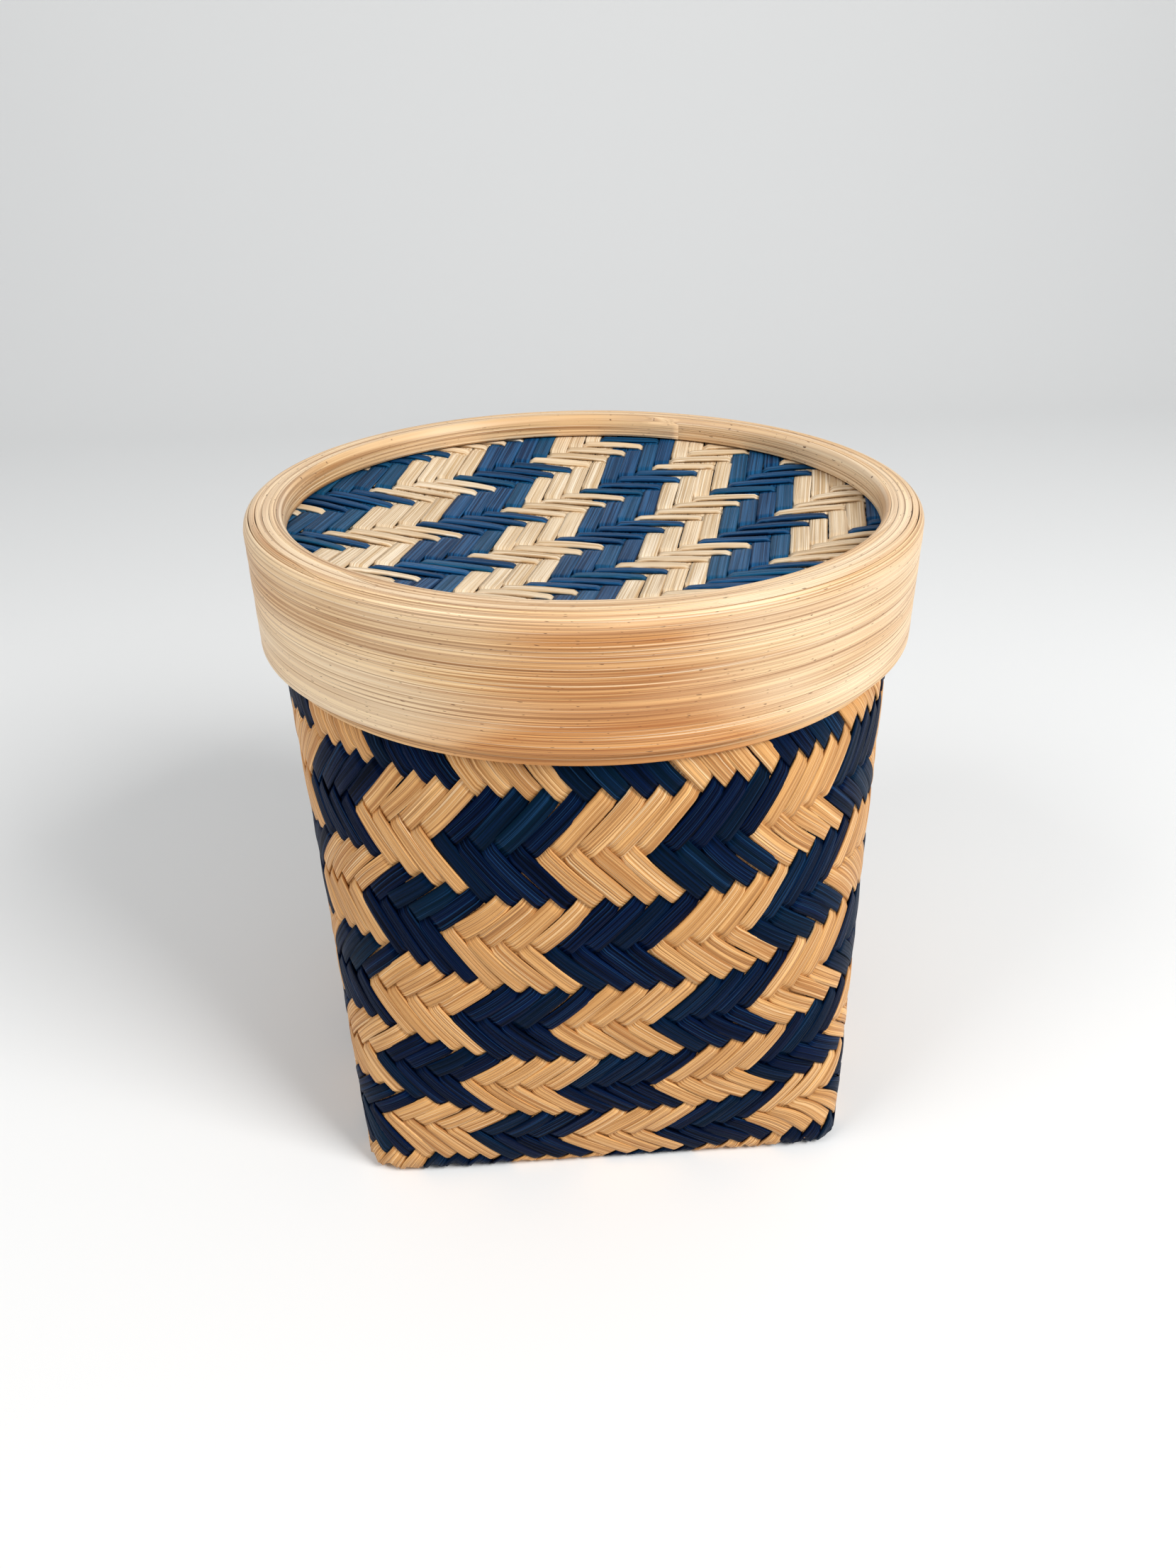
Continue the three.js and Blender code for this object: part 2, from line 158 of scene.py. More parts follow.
def lattice_to_plait(across, up):
    """The lattice as the hands leave it: a little closer at the front and at the corners, its rows
    lifted towards the corners and its columns leaning."""
    cells = across - front_crowding * np.sin(4 * np.pi * across / splints_round)
    cells += corner_crowding * np.sin(2 * np.pi * across / side_splints)
    cells -= column_lean * np.maximum(up, 0)
    climb = np.where(up > 0, wall_cell * up + wall_cell_growth * up**2, base_cell * up)
    lift = corner_lift * np.sin(np.pi * (cells - lift_aside) / side_splints) ** lift_narrowing
    lift = lift * eased((up - lift_start[0]) / (lift_start[1] - lift_start[0]))
    climb += lift * (1 - eased((up - lift_end[0]) / (lift_end[1] - lift_end[0])))
    return cells, climb


draw_rate = 12.9898
redraw_rate = 78.233
draw_spread = 43758.5453


def chance(number, again=0):
    """A steady draw between 0 and 1 for each number."""
    return (np.sin(number * draw_rate + again * redraw_rate) * draw_spread) % 1


# A splint runs over four and dips under four. Its floats bow a little, each by its own amount,
# and its steps crowd at the dips
dip_length = 0.32
dip_crowding = 0.72
uncrowded_share = 1 / 30
layer_height = (splint_thickness + splint_clearance) / 2
least_bow_share = 0.6
bow_spread_share = 0.8
under_bow_share = 0.5


def from_float_middle(offset):
    """How far an offset is from the middle of the nearest float, in crossings."""
    return abs((offset + twill_repeat / 2) % twill_repeat - twill_repeat / 2)


def twill_height(offset, reach, bow, number):
    """Height of a splint over the plait's middle, and its tilt. offset is in crossings from the
    middle of a float, and reach is half the float's length."""
    away = from_float_middle(offset)
    on_top = 1 - eased((away - reach) / dip_length + 0.5)
    which = np.floor((offset + twill_repeat / 2) / twill_repeat)
    lively = least_bow_share + bow_spread_share * chance(number, which)
    over_bow = bow * lively * np.maximum(0, 1 - (away / reach) ** 2)
    from_under = (twill_repeat / 2 - away) / (twill_repeat / 2 - reach)
    under_bow = bow * under_bow_share * np.maximum(0, 1 - from_under**2)
    tilt = on_top * (chance(number, which + 0.5) - 0.5)
    return layer_height * (2 * on_top - 1) + over_bow - under_bow, tilt


def crowded_dips(offset, along):
    """How far to move each step along a splint, in crossings, so that steps crowd at its dips."""
    inside = eased(np.minimum(along, 1 - along) / uncrowded_share)
    return -dip_crowding * inside * np.sin(np.pi * (offset - splints_to_colour / 2) / 2) * 2 / np.pi


width_steps = 3
edge_crowding = 0.4


def mesh_of(name, shaped):
    """The shaped bmesh as a mesh."""
    mesh = bpy.data.meshes.new(name)
    shaped.to_mesh(mesh)
    shaped.free()
    return mesh


def splint_blanks(name, numbers, steps):
    """Flat blanks, one grid a splint: along it in x from 0 to 1, across it in y, its number in z."""
    blanks = bmesh.new()
    for number in numbers:
        place = Matrix.Translation((0.5, 0, number))
        bmesh.ops.create_grid(blanks, x_segments=steps, y_segments=width_steps, size=0.5, matrix=place)
    return mesh_of(name, blanks)


def blank_points(mesh):
    """The x, y and z of a blank's points."""
    flat = np.zeros(len(mesh.vertices) * 3, np.float32)
    mesh.vertices.foreach_get("co", flat)
    return flat.reshape(-1, 3).astype(float).T


def blank_shares(mesh):
    """Along, across from -1 to 1 with its steps crowded at the edges, and the splint's number, for
    each point of the blanks."""
    along, across, number = blank_points(mesh)
    across = np.sign(across) * (2 * abs(across)) ** edge_crowding
    return along, across, np.round(number)


def formed_piece(mesh, places, grain, tone):
    """Moves a blank's points to their places, keeps the run of the grain and the tone on them, and
    makes the piece."""
    mesh.vertices.foreach_set("co", places.astype(np.float32).ravel())
    corner = np.zeros(len(mesh.loops), np.int32)
    mesh.loops.foreach_get("vertex_index", corner)
    mesh.uv_layers.new(name="grain").data.foreach_set("uv", grain[corner].astype(np.float32).ravel())
    mesh.attributes.new("tone", "FLOAT", "POINT").data.foreach_set("value", tone.astype(np.float32))
    mesh.polygons.foreach_set("use_smooth", [True] * len(mesh.polygons))
    mesh.update()
    piece = bpy.data.objects.new(mesh.name, mesh)
    bpy.context.scene.collection.objects.link(piece)
    return piece


edge_drop = 0.00007
shingle_tilt = 0.0003


def outer_face(height, tilt, across, slack):
    """Height of a splint's outer face: it tilts like a shingle where it is slack, and its edges are
    rounded off."""
    return height + (shingle_tilt * tilt * across * slack + splint_thickness / 2 - edge_drop * across**4)


def finished_splints(mesh, places, run, aside, tone):
    """Splints in their places, with the grain's run along and across them and their thickness."""
    piece = formed_piece(mesh, places, np.stack([run, aside], -1), tone)
    wall = piece.modifiers.new("thickness", "SOLIDIFY")
    wall.thickness = splint_thickness
    wall.offset = -1
    return piece


def sway(wave, run, number):
    """A slow wave along a splint: its size, its rate and how far it is shifted on the next one."""
    size, rate, shift = wave
    return size * np.sin(run * rate + number * shift)


# The body's splints are gripped by the hoops at the mouth and pressed flat under the base. They
# end on its diagonals, the left-leaning ones a little past them and the others a little short. The
# left-leaning one at a corner is tucked in under the base
pitch = 0.0052
body_steps = 220
body_bow = 0.00022
base_pressed_share = 0.6
grip_reach = 0.008
grip_run = 0.006
float_middle = {-1: 1.5, 1: 5.5}
dip_lead = {-1: 0.15, 1: 0.19}
body_width_share = {-1: 0.98, 1: 0.995}
body_width_wave = (0.03, 0.7, 1.7)
body_long_wave = (0.035, 0.9, 2.4)
body_short_wave = (0.02, 2.3, 4.1)
diagonal_overlap = 0.2
tuck_under = -4.6
tuck_run = 1.5
corner_reach = 0.5
settling_rounds = 16
small_step = 1e-3


def diagonal_end(start, lean, side, bottom):
    """How low a splint's middle line gets on the base's diagonal, from a first guess at bottom."""
    cell = (base_half_side - plait_thickness / 2 - fold_radius) / (side_splints / 2)
    corner = side_splints * (side - lean / 2)
    for _ in range(settling_rounds):
        cells, climb = lattice_to_plait(start + lean * bottom, bottom)
        to_diagonal = lean * (cells - corner) - np.maximum(0, -climb - half_fold) / cell
        to_base = (climb + half_fold) / cell
        bottom = bottom - np.maximum(to_diagonal / 2, to_base)
    return bottom


def body_splints(name, lean, numbers):
    """Splints of one lean, -1 to the left and 1 to the right, from the rim to the base's diagonals."""
    mesh = splint_blanks(name, numbers, body_steps)
    along, across, number = blank_shares(mesh)
    own_start = left_lean_start if lean < 0 else right_lean_start
    other_start = right_lean_start if lean < 0 else left_lean_start
    start = number - own_start
    corners = np.array([-side_corner, -front_corner, front_corner, side_corner])
    ends = np.concatenate([[side_corner - splints_round], corners, [splints_round - side_corner]])
    sides = np.searchsorted(corners, start)
    side = sides - 2
    to_corner = ends[sides + 1] - start if lean < 0 else start - ends[sides]
    bottom = diagonal_end(start, lean, side, -to_corner / 2)
    bottom += lean * diagonal_overlap * eased((tuck_under - bottom) / tuck_run + 1)
    if lean < 0:
        bottom = np.where(start - ends[sides] < corner_reach, tuck_under, bottom)
    up = lattice_top + along * (bottom - lattice_top)
    before = float_middle[lean] + lean * (start + other_start - number)
    up -= crowded_dips(-2 * up - before, along) / 2
    offset = -2 * up - before
    width = body_width_share[lean] * (1 + sway(body_width_wave, up, number))
    wander = sway(body_long_wave, up, number) + sway(body_short_wave, up, number)
    aside = width * across / 2 + wander
    cells, climb = lattice_to_plait(start + lean * up + aside / 2, up - lean * aside / 2)
    slack = 1 - eased((climb - hoop_bottom + grip_reach) / grip_run)
    pressed = 1 - base_pressed_share * eased(-climb / fold_radius)
    reach = splints_to_colour / 2 - dip_lead[lean]
    height, tilt = twill_height(offset, reach, body_bow * slack * pressed, number)
    height = outer_face(height, tilt, across, slack)
    middle = plait_middle(cells, climb, side)
    rightwards = plait_middle(cells + small_step, climb, side) - middle
    upwards = plait_middle(cells, climb + small_step * pitch, side) - middle
    outward = np.cross(rightwards, upwards)
    outward /= np.linalg.norm(outward, axis=1)[:, None]
    places = middle + outward * height[:, None]
    across_grain = across * width * pitch / 2
    piece = finished_splints(mesh, places, 2 * up * pitch, across_grain, chance(number, lean))
    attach(piece, "basket")
    return piece


def add_node(material, kind, inputs=None, **settings):
    """Adds a shader node; an input is a value or the socket that feeds it."""
    tree = material.node_tree
    made = tree.nodes.new(kind)
    for key, value in settings.items():
        setattr(made, key, value)
    for key, value in (inputs or {}).items():
        if isinstance(value, bpy.types.NodeSocket):
            tree.links.new(value, made.inputs[key])
        else:
            made.inputs[key].default_value = value
    return made


def blended(material, share, first, second, how="MIX"):
    """The colour that lies share of the way from the first to the second."""
    inputs = {0: share, 6: first, 7: second}
    return add_node(material, "ShaderNodeMix", inputs, data_type="RGBA", blend_type=how).outputs[2]


def spread(material, value, low, high, to_low=0.0, to_high=1.0):
    """The value spread out from between low and high to between to_low and to_high."""
    inputs = {"Value": value, "From Min": low, "From Max": high, "To Min": to_low, "To Max": to_high}
    return add_node(material, "ShaderNodeMapRange", inputs).outputs["Result"]


def scaled_noise(material, place, scale, detail, low, high):
    """Noise with its own pitch along and across the grain, spread from 0 at low to 1 at high."""
    stretched = add_node(material, "ShaderNodeVectorMath", {0: place, 1: scale}, operation="MULTIPLY")
    inputs = {"Vector": stretched.outputs[0], "Scale": 1.0, "Detail": detail}
    cloud = add_node(material, "ShaderNodeTexNoise", inputs)
    return spread(material, cloud.outputs["Fac"], low, high)


tones_apart = (0, 0, 37)


def grain_place(material):
    """The place in the grain, along and across it and set apart by the tone, and the tone itself."""
    grain = add_node(material, "ShaderNodeUVMap", uv_map="grain").outputs[0]
    tone = add_node(material, "ShaderNodeAttribute", attribute_name="tone").outputs["Fac"]
    apart = add_node(material, "ShaderNodeCombineXYZ", {"Z": tone}).outputs[0]
    lifted = add_node(material, "ShaderNodeVectorMath", {0: apart, 1: tones_apart}, operation="MULTIPLY")
    place = add_node(material, "ShaderNodeVectorMath", {0: grain, 1: lifted.outputs[0]}, operation="ADD")
    return place.outputs[0], tone


def finish_bamboo(material, colour, roughness, fibres, relief, depth, gloss):
    """Gives the material its colour, roughness and gloss, and the fine relief of its fibres."""
    bump = add_node(material, "ShaderNodeBump", {"Height": fibres, "Strength": relief, "Distance": depth})
    surface = material.node_tree.nodes["Principled BSDF"]
    material.node_tree.links.new(colour, surface.inputs["Base Color"])
    material.node_tree.links.new(roughness, surface.inputs["Roughness"])
    material.node_tree.links.new(bump.outputs["Normal"], surface.inputs["Normal"])
    surface.inputs["Specular IOR Level"].default_value = gloss


other_tone_from = 0.55
other_tone_share = 0.6
thread_share = 0.6
cloud_share = 0.22
glint_share = 0.6
fibre_wear = 0.14
splint_relief = 0.7
splint_relief_depth = 0.00016


def bamboo(name, deep, pale, thread, other, glint, roughness, gloss, shine):
    """Split bamboo: fine paler and darker fibres along the splint, thin pale glints along them that are
    partly paler fibres and partly painted highlight, each splint with a tone of its own.
    """
    material = bpy.data.materials.new(name)
    material.use_nodes = True
    place, tone = grain_place(material)
    fibres = scaled_noise(material, place, scale=(12, 1700, 1), detail=4.0, low=0.38, high=0.62)
    threads = scaled_noise(material, place, scale=(18, 3300, 1), detail=1.0, low=0.36, high=0.45)
    # Glints: thin pale lines along the fibres, partly the bamboo's own paler fibres and partly painted
    # highlight
    glints = scaled_noise(material, place, scale=(15, 3900, 1), detail=1.0, low=0.60, high=0.70)
    clouds = scaled_noise(material, place, scale=(50, 260, 1), detail=2.0, low=0.3, high=0.7)
    ground = blended(material, fibres, deep, pale)
    far = spread(material, tone, other_tone_from, 1.0, 0.0, other_tone_share)
    toned = blended(material, far, ground, other)
    lined = blended(material, threads, blended(material, thread_share, toned, thread), toned)
    soft = blended(material, clouds, blended(material, cloud_share, lined, thread), lined)
    glinting = blended(material, glints, soft, blended(material, glint_share, soft, glint))
    worn = spread(material, fibres, 0.0, 1.0, roughness + fibre_wear, roughness)
    finish_bamboo(material, glinting, worn, fibres, splint_relief, splint_relief_depth, gloss)
    material.node_tree.nodes["Principled BSDF"].inputs["Specular Tint"].default_value = shine
    return material


# The glint colour is that of thin pale lines along the fibres, partly paler fibres and partly painted
# highlight
natural_splint = bamboo(
    "natural_splint",
    deep=(0.455, 0.19, 0.05, 1),
    pale=(0.88, 0.485, 0.178, 1),
    thread=(0.20, 0.07, 0.016, 1),
    other=(0.72, 0.36, 0.11, 1),
    glint=(1, 0.76, 0.46, 1),
    roughness=0.42,
    gloss=0.35,
    shine=(1, 0.93, 0.82, 1),
)
dyed_splint = bamboo(
    "dyed_splint",
    deep=(0.0001, 0.0006, 0.0045, 1),
    pale=(0.0015, 0.0085, 0.042, 1),
    thread=(0.0003, 0.001, 0.004, 1),
    other=(0.002, 0.020, 0.042, 1),
    glint=(0.014, 0.060, 0.15, 1),
    roughness=0.4,
    gloss=0.05,
    shine=(0.30, 0.55, 1, 1),
)

body_colours = (("natural", natural_splint, "bamboo_splint"), ("navy", dyed_splint, "bamboo_dyed"))
for lean, word in ((-1, "left"), (1, "right")):
    for colour, material, slot in body_colours:
        first = 0 if colour == "natural" else splints_to_colour
        shift = -splints_round // 2 if lean < 0 else splints_to_colour - splints_round // 2
        numbers = [
            number for number in range(shift, shift + splints_round)
            if first <= number % twill_repeat < first + splints_to_colour
        ]
        piece = body_splints(f"body_splints_{colour}_{word}", lean, numbers)
        piece.data.materials.append(material)
        if (lean, colour) == (-1, "natural"):
            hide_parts("woven_body")

# Hoops of the mouth. Two flat strips of thick bamboo, scraped smooth, are bent round and clamp
# the plait between them. Each is one straight strip whose thinned ends lie on each other.
hoop_thickness = 0.00165
hoop_edge = 0.0005
hoop_steps = 240


def strip_blank(profile):
    """A straight strip along x from 0 to 1 with the given section of (out, height) points."""
    blank = bmesh.new()
    ring = [blank.verts.new((0, out, height)) for out, height in profile]
    edges = [blank.edges.new((a, b)) for a, b in zip(ring, ring[1:] + ring[:1])]
    bmesh.ops.spin(
        blank, geom=ring + edges, cent=(0, 0, 0), axis=(0, 0, 1), dvec=(1 / hoop_steps, 0, 0),
        angle=0, steps=hoop_steps,
    )
    ends = [e for e in blank.edges if e.is_boundary]
    bmesh.ops.holes_fill(blank, edges=ends, sides=0)
    bmesh.ops.recalc_face_normals(blank, faces=blank.faces)
    return blank


# A strip is bent by more than a turn, its ends thinned to a tip. The face of a broad one keeps
# ripples, and at the front a strip may get painted warm shade, darker and more orange, most of all
# low down and right under the lip
scarf_run = 0.014
scarf_tip_share = 0.04
ripple_face_share = 0.9
ripples_round = 2.2
ripples_up = 330
warm_shade_reach = 0.018
low_reach_gain = 3
high_warm_shade = 0.5
low_warm_shade = 0.9
lip_warm_shade = 0.5
lip_fall = 0.15
lip_spread = 0.07


def bent_hoop(
    name, body, inner, thickness, profile, seam, tone, ripple=0.0, slant=None, top=None, warm_shade_strength=0.0
):
    """Bends a straight strip round the axis, its thinned ends one over the other at the seam. The
    bend mirrors the strip and nothing turns its faces back, so they point inwards."""
    mesh = mesh_of(name, strip_blank(profile))
    along, out, height = blank_points(mesh)
    overlap = scarf_run / (inner + thickness)
    bend = 2 * np.pi + overlap
    angle = seam + along * bend
    taper = bend * along / overlap
    taper_end = bend * (1 - along) / overlap
    thin = np.clip(taper, scarf_tip_share, 1)
    thin_end = np.clip(taper_end, scarf_tip_share, 1)
    share = out / thickness
    share = np.where(taper < 1, share * thin, share)
    share = np.where(taper_end < 1, 1 - (1 - share) * thin_end, share)
    if ripple:
        rippled = zip(np.cos(angle) * ripples_round, np.sin(angle) * ripples_round, height * ripples_up)
        wave = np.array([noise.noise(Vector(place)) for place in rippled])
        share = np.where(share > ripple_face_share, share + ripple * wave / thickness, share)
    radius = inner + thickness * share
    if top:
        foot = min(level for _, level in profile)
        straight_top = np.array([top(r) for r in inner + out])
        bent_top = np.array([top(r) for r in radius])
        height = foot + (height - foot) * (bent_top - foot) / (straight_top - foot)
    if slant:
        height = slant(height, angle)
    places = np.stack([radius * np.cos(angle), radius * np.sin(angle), height], -1)
    grain = np.stack([angle * (inner + thickness), height + thickness - out], -1)
    piece = formed_piece(mesh, places, grain, np.full(len(mesh.vertices), tone))
    # Painted warm shade at the front, strongest low down and in a line right under the lip
    fall = (height.max() - height) / (height.max() - height.min())
    reach = warm_shade_reach * (1 + low_reach_gain * fall**3)
    front = np.exp(-(((np.sin(angle) + 1) / 2 / reach) ** 2))
    under_lip = lip_warm_shade * np.exp(-(((fall - lip_fall) / lip_spread) ** 2))
    painted_warm_shade = warm_shade_strength * (high_warm_shade + low_warm_shade * fall**2 + under_lip) * front
    mesh.attributes.new("painted_warm_shade", "FLOAT", "POINT").data.foreach_set("value", painted_warm_shade.astype(np.float32))
    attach(piece, body)
    return piece


face_rows = 6
nick_share = 0.29


def flat_section(thickness, bottom, top, edge):
    """Section of a flat strip with its long edges eased: up the outside and down the inside."""
    nick = edge * nick_share
    low_outer = [(thickness - edge, bottom), (thickness - nick, bottom + nick)]
    outside = [(thickness, height) for height in np.linspace(bottom + edge, top - edge, face_rows)]
    high = [(thickness - nick, top - nick), (thickness - edge, top), (edge, top), (nick, top - nick)]
    inside = [(0, height) for height in np.linspace(top - edge, bottom + edge, face_rows)]
    low_inner = [(nick, bottom + nick), (edge, bottom)]
    return low_outer + outside + high + inside + low_inner


band_share = 0.45
bright_share = 0.55
# The painted warm shade multiplies the colour by a darker tan and, where it is strong, holds back the pale
# washes
warm_shade_from = 0.75
least_wash = 0.05
most_wash = 0.6
warm_shade_tan = (0.86, 0.62, 0.40, 1)
speck_brown = (0.12, 0.045, 0.015, 1)
band_roughness = 0.5
scraped_roughness = 0.36
strip_relief = 0.6
strip_relief_depth = 0.00014
strip_gloss = 0.4


def scraped_bamboo(name, deep, pale, thread, bright, speck_share):
    """Bent bamboo strip: long fibres round the hoop, paler and darker bands, broad pale washes, thin pale
    glints that are partly paler fibres and partly painted highlight, small brown specks, and painted warm
    shade where the piece asks for it.
    """
    material = bpy.data.materials.new(name)
    material.use_nodes = True
    place, _ = grain_place(material)
    fibres = scaled_noise(material, place, scale=(9, 1500, 1), detail=5.0, low=0.41, high=0.59)
    threads = scaled_noise(material, place, scale=(8, 1900, 1), detail=1.0, low=0.35, high=0.43)
    glints = scaled_noise(material, place, scale=(9, 2300, 1), detail=1.0, low=0.60, high=0.68)
    bands = scaled_noise(material, place, scale=(6, 260, 1), detail=3.0, low=0.34, high=0.66)
    broad = scaled_noise(material, place, scale=(9, 45, 1), detail=2.0, low=0.36, high=0.64)
    specks = scaled_noise(material, place, scale=(420, 2300, 1), detail=1.0, low=0.70, high=0.76)
    ground = blended(material, fibres, deep, pale)
    banded = blended(material, bands, blended(material, band_share, ground, deep), ground)
    # Painted warm shade, read from the piece: it darkens and warms the colour and holds back the pale
    # washes
    warm_shade = add_node(material, "ShaderNodeAttribute", attribute_name="painted_warm_shade").outputs["Fac"]
    wash_outside_shade = spread(material, warm_shade, warm_shade_from, 1.0, most_wash, least_wash)
    washed = add_node(material, "ShaderNodeMath", {0: broad, 1: wash_outside_shade}, operation="MULTIPLY")
    lit = blended(material, washed.outputs[0], banded, bright)
    warm_shaded = blended(material, warm_shade, lit, blended(material, 1.0, lit, warm_shade_tan, "MULTIPLY"))
    # Glints: thin pale lines along the fibres, partly paler fibres and partly painted highlight
    glinting = blended(material, glints, warm_shaded, blended(material, bright_share, warm_shaded, bright))
    lined = blended(material, threads, blended(material, thread_share, glinting, thread), glinting)
    few = add_node(material, "ShaderNodeMath", {0: specks, 1: speck_share}, operation="MULTIPLY")
    flecked = blended(material, few.outputs[0], lined, speck_brown)
    worn = spread(material, bands, 0.0, 1.0, band_roughness, scraped_roughness)
    finish_bamboo(material, flecked, worn, fibres, strip_relief, strip_relief_depth, strip_gloss)
    return material


# bright is the colour of the broad pale washes and of the thin glints, which are partly paler fibres and
# partly painted highlight
band_bamboo = scraped_bamboo(
    "band_bamboo",
    deep=(0.46, 0.22, 0.075, 1),
    pale=(0.90, 0.61, 0.31, 1),
    thread=(0.24, 0.09, 0.022, 1),
    bright=(0.97, 0.79, 0.55, 1),
    speck_share=0.9,
)
smooth_bamboo = scraped_bamboo(
    "smooth_bamboo",
    deep=(0.58, 0.28, 0.085, 1),
    pale=(0.92, 0.58, 0.26, 1),
    thread=(0.30, 0.12, 0.03, 1),
    bright=(0.96, 0.67, 0.36, 1),
    speck_share=0.4,
)

# Each hoop's piece, its node, its seam in degrees, its tone and how much warm shade is painted on it at
# the front
mouth_hoops = (
    ("mouth_outer_hoop", "body_outer_hoop", 144, 0.2, 0.8),
    ("mouth_inner_hoop", "body_inner_hoop", 54, 0.5, 0.0),
)
for name, node_name, seam, tone, warm_shade_strength in mouth_hoops:
    low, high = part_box(node_name)
    inner = high.x - hoop_thickness
    section = flat_section(hoop_thickness, low.z, high.z, hoop_edge)
    piece = bent_hoop(name, "basket", inner, hoop_thickness, section, math.radians(seam), tone, warm_shade_strength=warm_shade_strength)
    piece.data.materials.append(smooth_bamboo)
    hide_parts(node_name)

# Lid's skirt. The outer band is one broad strip with the ripples of the culm still in its face,
# over a thinner backing band. Both run up to the rim, where the outer one is rounded over.
lid_low, lid_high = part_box("lid_outer_band")
lid_radius = lid_high.x
lid_top = lid_high.z
ply_thickness = 0.00165
glue_line = 0.0003
skirt_slant = 0.001
rim_outer_rounding = 0.004
rim_inner_rounding = 0.002
recess_radius = 0.0886
crown_points = 9
skirt_edge = 0.0005
# How much warm shade is painted on the skirt's bands at the front
skirt_warm_shade = 1.0
skirt_bottom = lid_low.z + skirt_slant


def crown(radius):
    """Height of the rim's rounded crown at a radius."""
    outside = max(0, radius - (lid_radius - rim_outer_rounding))
    inside = max(0, recess_radius + rim_inner_rounding - radius)
    drop = rim_outer_rounding - math.sqrt(max(0, rim_outer_rounding**2 - outside**2))
    drop += rim_inner_rounding - math.sqrt(max(0, rim_inner_rounding**2 - inside**2))
    return lid_top - drop


def crowned_section(inner, thickness, bottom, rows, edge):
    """Section of a ply whose top follows the crown."""
    outer = inner + thickness
    nick = edge * nick_share
    foot = [(edge, bottom), (thickness - edge, bottom), (thickness - nick, bottom + nick)]
    outside = [(thickness, height) for height in np.linspace(bottom + edge, crown(outer), rows)[:-1]]
    top = [(radius - inner, crown(radius)) for radius in np.linspace(outer, inner, crown_points)]
    inside = [(0, height) for height in np.linspace(crown(inner), bottom + edge, rows)[1:]]
    return foot + outside + top + inside


def trimmed(height, angle):
    """The skirt's lower edge is a little out of square, highest at the front."""
    fall = (lid_top - height) / (lid_top - skirt_bottom)
    return height + skirt_slant * np.cos(angle + np.pi / 2) * np.clip(fall, 0, 1) ** 2


# Each band's piece, its node, inner radius, seam in degrees, tone, ripple and rows of faces
skirt_bands = (
    ("lid_band", "lid_outer_band", lid_radius - ply_thickness, 112, 0.0, 0.00009, 40),
    ("lid_band_backing", "lid_backing_band", lid_radius - 2 * ply_thickness - glue_line, 216, 0.7, 0.0, 8),
)
for name, node_name, inner, seam, tone, ripple, rows in skirt_bands:
    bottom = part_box(node_name)[0].z + skirt_slant
    section = crowned_section(inner, ply_thickness, bottom, rows, skirt_edge)
    piece = bent_hoop(
        name, "lid", inner, ply_thickness, section, math.radians(seam), tone, ripple, trimmed, crown,
        skirt_warm_shade,
    )
    piece.data.materials.append(band_bamboo)
    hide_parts(node_name)

# Rim plies. Four thin strips are bent inside the skirt, one in the other, and pressed on the
# edge of the panel. Together they carry the inner part of the crown.
ply_count = 4
first_ply_seam = 126
ply_seam_turn = 99
first_ply_tone = 0.15
ply_tone_step = 0.21
ply_rows = 6
ply_edge = 0.0002
pressed_thickness = 0.00183
for count in range(ply_count):
    node_name = f"lid_rim_ply_{count + 1}"
    low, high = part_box(node_name)
    inner = high.x - pressed_thickness
    section = crowned_section(inner, pressed_thickness, low.z, ply_rows, ply_edge)
    seam = math.radians(first_ply_seam + count * ply_seam_turn)
    tone = first_ply_tone + ply_tone_step * count
    piece = bent_hoop(
        f"rim_ply_{count + 1}", "lid", inner, pressed_thickness, section, seam, tone, top=crown
    )
    piece.data.materials.append(band_bamboo)
    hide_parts(node_name)

# Stop hoop. A thicker strip of bamboo, bent round under the panel. It holds the panel up against
# the plies, and when the lid is on it rests on the basket's rim.
stop_thickness = 0.0036
stop_edge = 0.0007
stop_seam = math.radians(333)
stop_tone = 0.4
low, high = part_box("lid_stop_hoop")
inner = high.x - stop_thickness
section = flat_section(stop_thickness, low.z, high.z, stop_edge)
stop_hoop = bent_hoop("stop_hoop", "lid", inner, stop_thickness, section, stop_seam, stop_tone)
stop_hoop.data.materials.append(smooth_bamboo)
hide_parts("lid_stop_hoop")

# Lid panel. A flat twill of the same splints, four over and four under, cut round and dished a
# little, with its edge held between the rim plies and the stop hoop.
panel_pitch = 0.0055
panel_turn = math.radians(-14.1)
panel_edge_radius = 0.0944
panel_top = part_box("lid_woven_panel")[1].z
panel_thickness = 0.0018
panel_sag = 0.0085
column_zero = 0.01575
row_zero = -0.0006
panel_steps = 130
panel_grip_reach = 0.006
panel_grip_run = 0.007
panel_float_reach = 1.86
row_float_middle = 5.5
row_width_share = 0.62
row_narrowing = 0.1
row_narrowing_run = 2.2
row_bow = 0.00035
column_float_middle = 1.5
column_width_share = 0.99
column_bow = 0.0001
panel_width_wave = (0.03, 90, 1.7)
panel_wave = (0.00016, 70, 2.4)


def panel_line(number, along_rows):
    """How far the middle line of a splint lies from the panel's middle."""
    return row_zero - number * panel_pitch if along_rows else column_zero + number * panel_pitch


